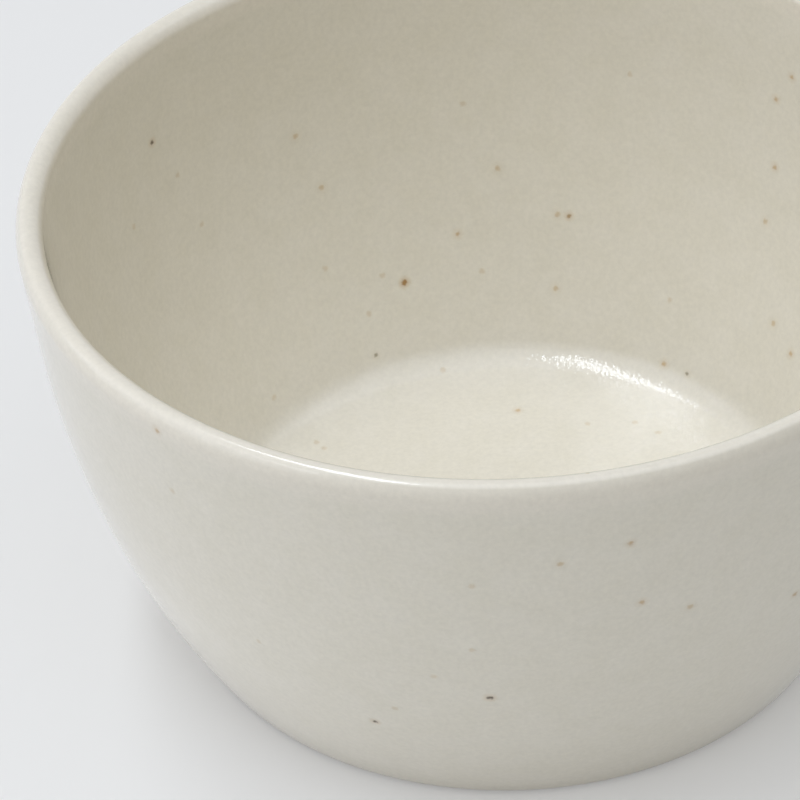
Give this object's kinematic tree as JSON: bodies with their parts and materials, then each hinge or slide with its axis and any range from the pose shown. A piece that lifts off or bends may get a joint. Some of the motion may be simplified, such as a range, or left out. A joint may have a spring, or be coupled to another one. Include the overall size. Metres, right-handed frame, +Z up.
{
  "type": "soup cup",
  "caption": "Handleless stoneware soup cup with a rounded lip, gently curved wall, flat floor and foot ring, glazed ivory with iron specks; holds soup or hot drinks.",
  "frame": {"origin": "middle of the foot ring, on the table", "axes": "+Z up along the cup's axis of turning; X and Y lie in the table"},
  "size_m": [0.115, 0.115, 0.0603],
  "materials": {
    "clay": "bare fired stoneware, matte",
    "liner_glaze": "ivory semi-gloss glaze with iron specks",
    "outer_glaze": "ivory semi-gloss glaze with iron specks"
  },
  "bodies": {
    "root": {"clay_body": "clay", "glaze_inside": "liner_glaze", "glaze_outside": "outer_glaze"}
  },
  "joints": []
}
